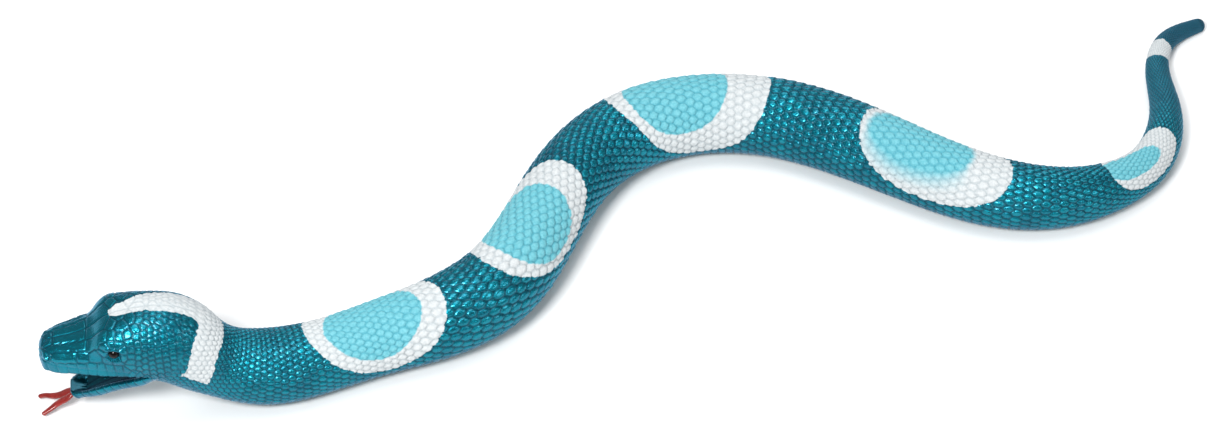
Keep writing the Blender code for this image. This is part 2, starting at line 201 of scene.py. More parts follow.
class Spine:
    def __init__(self, rows):
        rows = np.array(rows)
        height = rows[:, 2] + rows[:, 3] - BELLY_FLAT
        self.values = np.column_stack([rows[:, 0], rows[:, 1], height, rows[:, 3]])
        chords = np.linalg.norm(np.diff(self.values[:, :3], axis=0), axis=1)
        self.knots = np.concatenate([[0.0], np.cumsum(chords)])
        self.bends = natural_spline(self.knots, self.values)
        self.fine = np.linspace(0.0, self.knots[-1], 2000)
        places = evaluate(self.knots, self.values, self.bends, self.fine)[:, :3]
        steps = np.linalg.norm(np.diff(places, axis=0), axis=1)
        self.lengths = np.concatenate([[0.0], np.cumsum(steps)])
        self.length = self.lengths[-1]

    def at(self, distances):
        knots = np.interp(distances, self.lengths, self.fine)
        return evaluate(self.knots, self.values, self.bends, knots)

    def frames(self, distances):
        """Points, radii, directions to the tail, to +Y's side and up. It runs straight on past both ends."""
        distances = np.asarray(distances, float)
        inside = np.clip(distances, 0.0, self.length)
        values = self.at(inside)
        low = np.clip(inside - 0.001, 0.0, self.length)
        high = np.clip(inside + 0.001, 0.0, self.length)
        along = self.at(high)[:, :3] - self.at(low)[:, :3]
        along /= np.linalg.norm(along, axis=1)[:, None]
        side = np.cross([0.0, 0.0, 1.0], along)
        side /= np.linalg.norm(side, axis=1)[:, None]
        points = values[:, :3] + along * (distances - inside)[:, None]
        return points, values[:, 3], along, side, np.cross(along, side)


def smoothstep(low, high, value):
    t = np.clip((value - low) / (high - low), 0.0, 1.0)
    return t * t * (3 - 2 * t)


def fineness(s):
    """Size of the scales beside those of the middle of the body, s mm from the skull."""
    return 0.62 + 0.13 * smoothstep(25.0, 55.0, s) + 0.25 * smoothstep(55.0, 165.0, s)


def hashed(*numbers):
    """A number from 0 to 1 for each set of whole numbers."""
    mixed = sum(n * k for n, k in zip(numbers, (127.1, 311.7, 74.7)))
    return np.modf(np.abs(np.sin(mixed) * 43758.5453))[0]


# ---------------------------------------------------------------- scales


def scale_cells(u, v):
    """For a point in rows u along and v round: mm to the nearest border, the offset from the
    scale's middle along and round, the scale's own (row, column)."""
    best = np.full(u.shape, 1e9)
    second = np.full(u.shape, 1e9)
    chosen = [np.zeros(u.shape) for _ in range(4)]
    pitch_u, pitch_v = SCALE_LENGTH, SCALE_TURN * THICK * 1000
    for shift in (-1, 0, 1, 2):
        row = np.floor(u) + shift
        stagger = 0.5 * np.mod(row, 2)
        base = np.floor(v - stagger)
        for step in (0, 1):
            column = base + step
            du, dv = (u - row) * pitch_u, (v - column - stagger) * pitch_v
            far = (np.abs(du / 1.04) ** 1.3 + np.abs(dv) ** 1.3) ** (1 / 1.3)
            nearer = far < best
            between = ~nearer & (far < second)
            second = np.where(nearer, best, np.where(between, far, second))
            best = np.where(nearer, far, best)
            for store, value in zip(chosen, (du, dv, row, column)):
                np.copyto(store, value, where=nearer)
    border = (second - best) / 2
    return border, *chosen


def mound(border, width):
    return 1 - (1 - np.clip(border / width, 0.0, 1.0)) ** 2


def nearest_two(points, seeds, groups):
    """Distance in mm to the border of the shield that each point is in, and that shield's number.
    Seeds with one group number make one shield. A block of points at a time."""
    border, which = np.empty(len(points)), np.empty(len(points))
    for start in range(0, len(points), 4000):
        block = slice(start, start + 4000)
        far = np.linalg.norm(points[block, None] - seeds[None], axis=2)
        pick = np.arange(len(far))
        first = far.argmin(axis=1)
        others = np.where(groups[None] == groups[first][:, None], np.inf, far)
        second = others.argmin(axis=1)
        gap = np.linalg.norm(seeds[first] - seeds[second], axis=1)
        border[block] = (far[pick, second] ** 2 - far[pick, first] ** 2) / (2 * gap)
        which[block] = groups[first]
    return border, which


# ---------------------------------------------------------------- head shape

table = np.array(HEAD_TABLE)[::-1]
table_bends = natural_spline(table[:, 0], table[:, 1:])


def head_profile(x, p):
    """y and z in mm in the head's frame, at x mm, for shares p of the way from the crown to the lip."""
    row = evaluate(table[:, 0], table[:, 1:], table_bends, x)
    shape = (len(x), 1)
    points = np.stack(
        [
            np.concatenate([np.zeros(shape), row[:, [1]], row[:, [3]], row[:, [5]], row[:, [7]]], axis=1),
            np.concatenate([row[:, [0]], row[:, [2]], row[:, [4]], row[:, [6]], row[:, [8]]], axis=1),
        ],
        axis=2,
    )
    mirrored = np.concatenate([points[:, 1:2] * [-1, 1], points], axis=1)
    knots = np.concatenate([[-SPREAD_KNOTS[1]], SPREAD_KNOTS])
    flat = mirrored.transpose(1, 0, 2).reshape(len(knots), -1)
    bends = natural_spline(knots, flat)
    out = evaluate(knots, flat, bends, p)
    return out.reshape(len(p), len(x), 2).transpose(1, 0, 2)


def palate(x, q):
    """y and z in mm of the roof of the mouth, for shares q across it, from the near lip to the far one."""
    row = evaluate(table[:, 0], table[:, 1:], table_bends, x)
    half, low = row[:, [7]], row[:, [8]]
    across = 1 - 2 * q[None, :]
    inner = np.clip(np.abs(across) / 0.92, 0, 1)
    roof = 4.6 * np.minimum(1.0, half / 12.0)
    lip = smoothstep(0.92, 1.0, np.abs(across))
    y = half * across * (1 - 0.02 * lip)
    z = low + roof * (1 - inner**4) * (1 - lip) - 0.25 * np.sin(math.pi * lip)
    ridges = 0.25 * np.cos(across * 18) * (1 - inner**2)
    return np.stack([y, z + ridges], axis=2)


head_frame = Matrix.Translation(HINGE_AT) @ Matrix.Rotation(HEAD_YAW, 4, "Z")
HEAD_ARRAY = np.array(head_frame)


def from_head(points_mm):
    return (points_mm / 1000) @ HEAD_ARRAY[:3, :3].T + HEAD_ARRAY[:3, 3]


def head_seeds():
    """Middles of the head's shields and scales in mm in the head's frame, on both sides, and
    each one's group."""
    middle = [(53.4, 0.0), (55.0, 0.62)]
    shields = [
        [(50.4, 0.15)],
        [(46.4, 0.15), (42.6, 0.15), (38.8, 0.15), (35.0, 0.16)],
        [(49.6, 0.37), (46.0, 0.37), (42.0, 0.38), (38.0, 0.38), (34.2, 0.39)],
        [(46.4, 0.62), (43.0, 0.63), (39.8, 0.63)],
        [(51.6, 0.60)],
        [(34.4, 0.64)], [(28.6, 0.66)],
        [(30.0, 0.16), (26.6, 0.16), (23.2, 0.15)],
        [(30.4, 0.40), (27.2, 0.39), (24.0, 0.39)], [(19.8, 0.41)], [(16.0, 0.42)],
        [(20.0, 0.20)], [(16.4, 0.10)], [(14.8, 0.27)], [(11.8, 0.40)], [(10.4, 0.17)],
        [(19.0, 0.625)],
    ]
    lip_row = (53.4, 49.0, 44.2, 39.4, 34.6, 30.0, 25.6, 21.4, 17.4, 13.6, 10.0)
    shields += [[(x, 0.90 + 0.012 * (x < 30))] for x in lip_row]
    for turn in np.radians(np.arange(12, 372, 45)):
        shields.append([(19.0 + 4.6 * math.cos(turn), 0.625 + 0.125 * math.sin(turn))])
    for column, x in enumerate(np.arange(11.0, -22.0, -3.2)):
        first = 0.50 if x > 8 else 0.30 + 0.04 * (column % 2)
        for share in np.arange(first, 1.02, 0.088 if x > 2 else 0.070):
            shields.append([(x + 0.35 * math.sin(7 * share + column), share)])
    for row, x in enumerate(np.arange(6.0, -22.0, -3.0)):
        shields += [[(x, share + 0.04 * (row % 2))] for share in (0.04, 0.12, 0.20)]
    seeds, groups = [], []
    for number, (x, share) in enumerate(middle):
        seeds.append((x, *head_profile(np.array([x]), np.array([share]))[0, 0]))
        groups.append(number)
    for number, shield in enumerate(shields):
        for x, share in shield:
            y, z = head_profile(np.array([min(x, 55.0)]), np.array([min(share, 1.0)]))[0, 0]
            seeds += [(x, y, z), (x, -y, z)]
            groups += [2 * number + 10, 2 * number + 11]
    return np.array(seeds), np.array(groups)


# ---------------------------------------------------------------- the skin grid


def grid_normals(points):
    """Normals of a grid of points that closes round its second axis."""
    along = np.empty_like(points)
    along[1:-1] = points[2:] - points[:-2]
    along[0], along[-1] = points[1] - points[0], points[-1] - points[-2]
    round_ = np.roll(points, -1, axis=1) - np.roll(points, 1, axis=1)
    normals = np.cross(round_, along)
    return normals / np.maximum(np.linalg.norm(normals, axis=2), 1e-12)[..., None]


def ring_stations(spine):
    """Distances along the spine of the rings, and how many scale rows have passed at each.
    Distances before 0 are in the head."""
    stations = list(np.arange(SKULL_AT - SNOUT_TIP, BEHIND_SKULL, HEAD_STEP))
    station = BEHIND_SKULL
    while station < spine.length:
        stations.append(station)
        radius = spine.at([max(station, 0.0)])[0, 3]
        pitch = SCALE_LENGTH / 1000 * (radius / THICK) ** 0.75 * fineness(1000 * station)
        station += max(pitch / 6.8, 0.00043)
    stations.append(spine.length)
    stations = np.array(stations)
    radius = spine.at(np.clip(stations, 0.0, spine.length))[:, 3]
    pitch = SCALE_LENGTH / 1000 * (radius / THICK) ** 0.75 * fineness(1000 * stations)
    rows = np.concatenate([[0.0], np.cumsum(np.diff(stations) / ((pitch[1:] + pitch[:-1]) / 2))])
    return stations, rows - np.interp(0.0, stations, rows)


def rough(points, size, seed):
    """Smooth uneven numbers from -1 to 1 in space, about this size in metres."""
    rng = np.random.default_rng(seed)
    total = np.zeros(points.shape[:-1])
    for _ in range(10):
        wave = rng.normal(size=3)
        wave *= 2 * math.pi / (size * np.linalg.norm(wave)) * rng.uniform(0.6, 1.6)
        total += np.sin(points @ wave + rng.uniform(0, 2 * math.pi))
    return total / 4


def patch(s, turn, middle, half, spread, power, centre, skew):
    """Below 0 inside an oval patch over the back. s in mm, turn in degrees; about mm at its edge."""
    x = (s - middle - skew * turn) / half
    y = (turn - centre) / spread
    scale = min(half, spread / 3)
    return (np.abs(x) ** power + np.abs(y) ** power) ** (1 / power) * scale - scale


def paint(s, turn, points):
    """Distances in mm to the edges of the white and the blue paint, below 0 inside."""
    uneven = 0.35 * rough(points, 0.0045, 5) + 0.25 * rough(points, 0.0016, 6)
    white = [patch(s, turn, *row) for row in WHITE_PATCHES]
    white.append(np.abs(s - TAIL_RING) - 7.0 + 0.012 * np.abs(turn))
    collar_middle = 24.0 + 4.0 * smoothstep(40, 90, np.abs(turn))
    collar = np.maximum(np.abs(s - collar_middle) - 7.0, (np.abs(turn) - 92) * 0.35)
    arm_middle = -1.0 - 9.0 * smoothstep(-12, 6, s)
    arm_half = 14.0 + 6.5 * smoothstep(-8, 10, s)
    arm = (np.abs(turn - arm_middle) - arm_half) * 0.36
    nose = np.hypot((turn - arm_middle) * 0.36, s + 9.0) - arm_half * 0.36
    arm = np.where(s < -9.0, nose, np.maximum(arm, s - 24))
    blend = np.clip(0.5 + 0.5 * (collar - arm) / 4.0, 0, 1)
    stripe = collar * (1 - blend) + arm * blend - 4.0 * blend * (1 - blend)
    white.append(stripe)
    blue = np.min([patch(s, turn, *row) for row in BLUE_PATCHES], axis=0)
    fading = np.abs(s - SOFT_PATCH) < 45
    soft = 0.45 + 5.5 * smoothstep(15, 55, turn) * fading + 1.2 * fading
    return np.min(white, axis=0) + uneven, (blue + 0.8 * uneven) / soft


def build_skin(spine):
    """Points, normals and paint values of the whole skin, as grids of rings by columns."""
    stations, rows = ring_stations(spine)
    share = np.concatenate([np.linspace(-1, 1, 2 * SIDE + 1), np.zeros(BELLY - 1)])
    belly = np.linspace(0, 1, BELLY + 1)[1:-1]
    back_turns = BELLY_EDGE * np.linspace(-1, 1, 2 * SIDE + 1)
    belly_turns = BELLY_EDGE + (2 * math.pi - 2 * BELLY_EDGE) * belly
    turns = np.concatenate([back_turns, belly_turns])
    centres, radii, _, side, up = spine.frames(stations)
    directions = np.cos(turns)[None, :, None] * up[:, None] - np.sin(turns)[None, :, None] * side[:, None]
    points = centres[:, None] + radii[:, None, None] * directions

    # The head: its own outline, which runs into the round neck behind the jaw
    in_head = stations < HEAD_BLEND
    x = (SKULL_AT - stations[in_head]) * 1000
    upper = head_profile(x, np.abs(share[: 2 * SIDE + 1]))
    upper[:, :, 0] *= np.sign(share[: 2 * SIDE + 1])[None, :]
    shaped = np.zeros((len(x), len(turns), 3))
    shaped[:, :, 0] = x[:, None]
    shaped[:, : 2 * SIDE + 1, 1:] = upper
    shaped[:, 2 * SIDE + 1 :, 1:] = palate(x, belly)
    shaped = from_head(shaped)
    blend = smoothstep(-6.0, 12.0, x)[:, None, None]
    blended = points[in_head] * (1 - blend) + shaped * blend
    blended[x > MOUTH_CORNER * 1000, 2 * SIDE + 1 :] = shaped[x > MOUTH_CORNER * 1000, 2 * SIDE + 1 :]
    points[in_head] = blended

    normals = grid_normals(points)
    degrees = np.degrees(turns)[None, :] * np.ones((len(stations), 1))
    degrees = np.where(degrees > 180, degrees - 360, degrees)
    s = stations[:, None] * 1000 * np.ones((1, len(turns)))

    # Relief of the body's scales and belly plates
    u = rows[:, None] * np.ones((1, len(turns)))
    v = np.radians(degrees) / (SCALE_TURN * fineness(s))
    uneven_u, uneven_v = (0.07 * rough(points, 0.012, seed) for seed in (8, 9))
    border, du, _, row, column = scale_cells(u + uneven_u, v + uneven_v)
    size = (radii / THICK)[:, None] ** 0.75 * fineness(s)
    scale = RELIEF * mound(border, 1.45) + 0.24 * du / 2.2 + 0.14 * mound(border, 2.2)
    scale += 0.08 * (hashed(row, column) - 0.5)
    plate_border = (0.5 - np.abs(u - np.round(u))) * SCALE_LENGTH
    plate = 0.9 * RELIEF * mound(plate_border, 0.8) + 0.10 * (u - np.round(u))
    belly_share = smoothstep(math.degrees(BELLY_EDGE) - 1.5, math.degrees(BELLY_EDGE) + 1.5, np.abs(degrees))
    edge = np.exp(-(((np.abs(degrees) - math.degrees(BELLY_EDGE)) / 1.8) ** 2))
    body = (scale * (1 - belly_share) + plate * belly_share - 0.25 * edge) * size
    groove = np.where(belly_share > 0.5, plate_border, border)
    cell = hashed(row, column)
    smooth_share = np.zeros_like(body)

    # Relief of the head
    reach = stations < 0.0245
    local = (points[reach] - HEAD_ARRAY[:3, 3]) @ HEAD_ARRAY[:3, :3] * 1000
    flat = local.reshape(-1, 3)
    head_border, which = [a.reshape(local.shape[:2]) for a in nearest_two(flat, *head_seeds())]
    front = smoothstep(4.0, 34.0, local[..., 0])
    shield = (0.48 + 0.04 * front) * mound(head_border, 0.70 + 0.50 * front)
    x_at, y_at, z_at = local[..., 0], np.abs(local[..., 1]), local[..., 2]
    on_top = np.arange(len(turns))[None, :] <= 2 * SIDE
    # wrinkles down the cheek behind the eye
    cheek = smoothstep(14.0, 9.0, x_at) * smoothstep(-22.0, -14.0, x_at) * smoothstep(60.0, 54.0, z_at)
    shield -= 0.50 * cheek * (0.5 + 0.5 * np.cos(2 * math.pi * (x_at - 1.4 + 0.02 * (z_at - 48)) / 3.2)) ** 2
    # the ridge under the brow, the hollow in front of the eye, the eye's ring and the nostril
    off_x, off_y = (x_at - EYE_AT[0]) / 1.15, 0.35 * (y_at - EYE_AT[1] - 1.5)
    off = np.sqrt(off_x**2 + (z_at - EYE_AT[2] + 0.2) ** 2 + off_y**2)
    ring = 0.55 * np.exp(-(((off - 3.9) / 0.9) ** 2)) - 1.5 * np.exp(-((off / 2.9) ** 4))
    hollow = -0.9 * np.exp(-(((x_at - 29.0) / 5.0) ** 2) - (((z_at - 49.5) / 2.6) ** 2)) * (y_at > 8)
    canthus = 0.5 * np.exp(-(((y_at - 11.0) / 1.7) ** 2) - (((z_at - 49.4) / 1.6) ** 2))
    canthus *= smoothstep(50, 44, x_at) * smoothstep(28, 33, x_at)
    nose_off = np.hypot(x_at - 50.6, z_at - 44.4)
    nostril = 0.45 * np.exp(-(((nose_off - 1.5) / 0.6) ** 2)) - 0.8 * np.exp(-((nose_off / 0.9) ** 2))
    lip_line = -0.25 * np.exp(-(((z_at - 39.9 - 0.03 * x_at) / 0.5) ** 2)) * (x_at > 12)
    lip = smoothstep(42.6, 40.6, z_at - 0.03 * x_at) * smoothstep(4, 14, x_at)
    shield *= 1 - 0.40 * lip
    relief = shield + (ring + hollow + canthus + nostril * (y_at > 4) + lip_line) * on_top
    to_head = smoothstep(*HEAD_RELIEF, s[reach])
    in_mouth = ~on_top & (x_at > MOUTH_CORNER * 1000)
    relief = np.where(in_mouth, 0.0, relief)
    throat = ~on_top & ~in_mouth
    to_head = np.where(throat, 0.0, to_head)
    body[reach] = body[reach] * (1 - to_head) + relief * to_head
    groove[reach] = groove[reach] * (1 - to_head) + (head_border + 0.35 * lip + 0.12 * front) * to_head
    cell[reach] = np.where(to_head > 0.5, hashed(which, which), cell[reach])
    smooth_share[reach] = front * to_head
    # the inside of the mouth, which the skin material darkens as painted shade
    mouth = np.zeros_like(body)
    mouth[reach] = in_mouth
    in_mouth_all = mouth > 0.5

    sunk = np.where(in_mouth_all, 0.0, 0.55 * size + (0.36 - 0.55 * size) * smoothstep(*HEAD_RELIEF, s))
    points = points + normals * ((body - sunk)[..., None] / 1000)
    points += normals * (0.00008 * rough(points, 0.0012, 3) * (1 - 0.6 * smooth_share))[..., None]
    lying = stations[:, None] > 0.06
    points[..., 2] = np.where(lying, np.maximum(points[..., 2], 0.0), points[..., 2])

    white, blue = paint(s, degrees, points)
    white = np.where(in_mouth_all, UNPAINTED, white)
    tail = smoothstep(620, 650, s) * 0.55 + smoothstep(692, 700, s) * 0.45
    # groove is high near the scale borders: the skin material paints shade there on the teal and the white,
    # and shows a teal-blue in the blue's grooves, where the paint does not reach
    values = {
        "white_mm": white,
        "blue_mm": blue,
        "groove": np.exp(-((np.clip(groove, 0, None) / 0.50) ** 2)),
        "cell": cell,
        "glossy": smooth_share,
        "dull": tail,
        "mouth": mouth,
    }
    return stations, points, grid_normals(points), values


def ring_quads(count, columns):
    """Numbers of the points of a grid of rings, and the faces between them, which close round."""
    index = np.arange(count * columns).reshape(count, columns)
    following = np.roll(index, -1, axis=1)
    quads = np.stack([index[:-1], following[:-1], following[1:], index[1:]], axis=-1)
    return index, quads.reshape(-1, 4).tolist()


def add_object(name, data):
    obj = bpy.data.objects.new(name, data)
    bpy.context.scene.collection.objects.link(obj)
    return obj


def make_piece(name, points, normals, values, closed_ends=(False, False)):
    """A mesh from a grid of rings, which closes round, with the given shading normals."""
    count, columns = points.shape[:2]
    coordinates = points.reshape(-1, 3)
    index, faces = ring_quads(count, columns)
    shading = normals.reshape(-1, 3)
    extra = {key: value.reshape(-1) for key, value in values.items()}
    for end, ring in ((0, 0), (1, count - 1)):
        if not closed_ends[end]:
            continue
        centre = points[ring].mean(axis=0)
        coordinates = np.vstack([coordinates, centre])
        shading = np.vstack([shading, normals[ring].mean(axis=0)])
        for key in extra:
            extra[key] = np.append(extra[key], values[key][ring].mean())
        top = len(coordinates) - 1
        fan = np.column_stack([index[ring], np.roll(index[ring], -1), np.full(columns, top)])
        faces += (fan[:, [1, 0, 2]] if end == 0 else fan).tolist()
    mesh = bpy.data.meshes.new(name)
    mesh.from_pydata(coordinates.tolist(), [], faces)
    for key, value in extra.items():
        attribute = mesh.attributes.new(key, "FLOAT", "POINT")
        attribute.data.foreach_set("value", np.asarray(value, np.float32))
    mesh.shade_smooth()
    lengths = np.maximum(np.linalg.norm(shading, axis=1), 1e-9)
    mesh.normals_split_custom_set_from_vertices((shading / lengths[:, None]).tolist())
    return add_object(name, mesh)


# ---------------------------------------------------------------- materials


class Nodes:
    """A small helper that adds shader nodes to one material."""

    def __init__(self, name):
        self.material = bpy.data.materials.new(name)
        self.material.use_nodes = True
        self.tree = self.material.node_tree
        self.shader = self.tree.nodes["Principled BSDF"]

    def add(self, kind, **settings):
        node = self.tree.nodes.new(kind)
        for key, value in settings.items():
            setattr(node, key, value)
        return node

    def put(self, socket, value):
        if isinstance(value, bpy.types.NodeSocket):
            self.tree.links.new(value, socket)
        else:
            socket.default_value = value

    def attribute(self, name):
        return self.add("ShaderNodeAttribute", attribute_name=name).outputs["Fac"]

    def math(self, operation, *values, clamp=False):
        node = self.add("ShaderNodeMath", operation=operation, use_clamp=clamp)
        for socket, value in zip(node.inputs, values):
            self.put(socket, value)
        return node.outputs[0]

    def ramp(self, value, low, high, first=0.0, last=1.0):
        node = self.add("ShaderNodeMapRange", interpolation_type="SMOOTHSTEP")
        for socket, number in zip(node.inputs, (value, low, high, first, last)):
            self.put(socket, number)
        return node.outputs[0]

    def mix(self, share, first, second, blend="MIX"):
        node = self.add("ShaderNodeMix", data_type="RGBA", blend_type=blend)
        self.put(node.inputs[0], share)
        self.put(node.inputs[6], first)
        self.put(node.inputs[7], second)
        return node.outputs[2]

    def between(self, share, first, second):
        node = self.add("ShaderNodeMix", data_type="FLOAT")
        self.put(node.inputs[0], share)
        self.put(node.inputs[2], first)
        self.put(node.inputs[3], second)
        return node.outputs[0]

    def noise(self, scale, detail=2.0, roughness=0.5):
        coordinates = self.add("ShaderNodeTexCoord").outputs["Object"]
        node = self.add("ShaderNodeTexNoise")
        self.put(node.inputs["Vector"], coordinates)
        self.put(node.inputs["Scale"], scale)
        self.put(node.inputs["Detail"], detail)
        self.put(node.inputs["Roughness"], roughness)
        return node.outputs["Fac"]

    def flakes(self, scale):
        coordinates = self.add("ShaderNodeTexCoord").outputs["Object"]
        node = self.add("ShaderNodeTexVoronoi")
        self.put(node.inputs["Vector"], coordinates)
        self.put(node.inputs["Scale"], scale)
        split = self.add("ShaderNodeSeparateColor")
        self.put(split.inputs[0], node.outputs["Color"])
        return split.outputs[0]

    def bump(self, height, distance, strength=1.0):
        node = self.add("ShaderNodeBump")
        self.put(node.inputs["Height"], height)
        self.put(node.inputs["Distance"], distance)
        self.put(node.inputs["Strength"], strength)
        return node.outputs["Normal"]


def skin_material():
    n = Nodes("painted_skin")
    white_mm, blue_mm = n.attribute("white_mm"), n.attribute("blue_mm")
    groove, cell = n.attribute("groove"), n.attribute("cell")
    dull, mouth, glossy = n.attribute("dull"), n.attribute("mouth"), n.attribute("glossy")
    white = n.ramp(white_mm, 0.18, -0.18)
    blue = n.math("MULTIPLY", n.ramp(blue_mm, 1.0, -1.0), white)
    cloud = n.noise(55.0, 3.0)
    teal = n.mix(n.ramp(cloud, 0.35, 0.65), (0.0, 0.130, 0.190, 1), (0.0, 0.175, 0.245, 1))
    # painted sparkle: a random lighter teal on some scales stands in for glints off the metal flakes
    teal = n.mix(n.math("MULTIPLY", cell, 0.35), teal, (0.0, 0.29, 0.36, 1))
    teal = n.mix(dull, teal, (0.020, 0.130, 0.200, 1))
    # painted shade: the teal darkens in the grooves between the scales
    teal = n.mix(n.math("MULTIPLY", groove, 0.85), teal, (0.0, 0.045, 0.075, 1))
    # painted shade: the teal goes nearly black inside the mouth
    teal = n.mix(n.math("MULTIPLY", mouth, 0.85), teal, (0.0, 0.018, 0.030, 1))
    grain = n.noise(900.0, 2.0)
    pale = n.mix(n.ramp(grain, 0.3, 0.7), (0.50, 0.525, 0.53, 1), (0.59, 0.61, 0.61, 1))
    # painted shade: the white goes grey in the grooves between the scales
    pale = n.mix(n.math("MULTIPLY", groove, 0.45), pale, (0.28, 0.34, 0.36, 1))
    sky = n.mix(n.ramp(grain, 0.3, 0.7), (0.115, 0.40, 0.46, 1), (0.165, 0.47, 0.53, 1))
    sky = n.mix(n.math("MULTIPLY", groove, 0.50), sky, (0.01, 0.22, 0.30, 1))
    colour = n.mix(white, teal, n.mix(blue, pale, sky))
    n.put(n.shader.inputs["Base Color"], colour)
    flake = n.flakes(1500.0)
    n.put(n.shader.inputs["Metallic"], n.between(white, 0.88, 0.0))
    rough_teal = n.between(glossy, n.ramp(flake, 0.0, 1.0, 0.22, 0.38), 0.20)
    rough_teal = n.between(dull, rough_teal, 0.5)
    rough_teal = n.between(groove, rough_teal, 0.55)
    n.put(n.shader.inputs["Roughness"], n.between(white, rough_teal, n.between(blue, 0.72, 0.55)))
    n.put(n.shader.inputs["Coat Weight"], n.between(white, 0.30, 0.0))
    n.shader.inputs["Coat Roughness"].default_value = 0.16
    n.shader.inputs["Specular Tint"].default_value = (0.42, 0.62, 0.82, 1)
    n.shader.inputs["Sheen Weight"].default_value = 0.07
    n.shader.inputs["Sheen Roughness"].default_value = 0.35
    n.shader.inputs["Sheen Tint"].default_value = (0.30, 0.42, 0.75, 1)
    height = n.math("MULTIPLY", flake, n.between(white, 0.5, 0.12))
    height = n.math("ADD", height, n.math("MULTIPLY", n.noise(1400.0, 2.0), 0.6))
    height = n.math("ADD", height, n.math("MULTIPLY", n.noise(480.0, 3.0), n.between(white, 0.6, 2.2)))
    n.put(n.shader.inputs["Normal"], n.bump(height, 0.00010, 0.75))
    return n.material


def tongue_material():
    n = Nodes("red_tongue")
    cloud = n.noise(180.0, 3.0)
    red = n.mix(n.ramp(cloud, 0.3, 0.7), (0.20, 0.008, 0.005, 1), (0.29, 0.014, 0.009, 1))
    n.put(n.shader.inputs["Base Color"], red)
    n.put(n.shader.inputs["Roughness"], n.ramp(cloud, 0.3, 0.7, 0.20, 0.32))
    n.shader.inputs["Coat Weight"].default_value = 0.4
    n.shader.inputs["Coat Roughness"].default_value = 0.1
    n.put(n.shader.inputs["Normal"], n.bump(n.noise(900.0, 2.0), 0.0001, 0.5))
    return n.material


def eye_material():
    n = Nodes("glossy_eye")
    cloud = n.noise(600.0, 2.0)
    n.put(n.shader.inputs["Base Color"], n.mix(cloud, (0.001, 0.001, 0.001, 1), (0.006, 0.002, 0.002, 1)))
    n.put(n.shader.inputs["Roughness"], n.ramp(cloud, 0.3, 0.7, 0.06, 0.12))
    n.shader.inputs["Specular IOR Level"].default_value = 0.15
    n.shader.inputs["Coat Weight"].default_value = 0.12
    n.shader.inputs["Coat Roughness"].default_value = 0.04
    return n.material


def wire_material():
    n = Nodes("drawn_wire")
    cloud = n.noise(700.0, 3.0)
    n.put(n.shader.inputs["Base Color"], n.mix(cloud, (0.52, 0.52, 0.53, 1), (0.66, 0.66, 0.67, 1)))
    n.shader.inputs["Metallic"].default_value = 1.0
    n.put(n.shader.inputs["Roughness"], n.ramp(cloud, 0.3, 0.7, 0.28, 0.42))
    return n.material


# ---------------------------------------------------------------- jaw, tongue and eyes

to_hinge = Matrix.Translation((0, 0, HINGE_HEIGHT))
from_hinge = Matrix.Translation((0, 0, -HINGE_HEIGHT))
jaw_turn = to_hinge @ Matrix.Rotation(JAW_OPEN, 4, "Y") @ from_hinge
JAW_ARRAY = np.array(head_frame @ jaw_turn)
# Rings of the shut jaw in mm: x, half width, rim z, bottom z
JAW_TABLE = np.array(
    [
        (-4.0, 18.6, 36.0, 25.2),
        (3.0, 17.6, 36.6, 26.2),
        (11.5, 15.6, 37.6, 27.9),
        (24.5, 12.2, 38.6, 29.6),
        (37.5, 8.6, 38.3, 30.6),
        (43.8, 6.0, 37.9, 31.7),
        (46.2, 3.9, 37.5, 32.4),
        (47.0, 1.6, 36.8, 33.6),
    ]
)
OUTSIDE, INSIDE = 46, 30


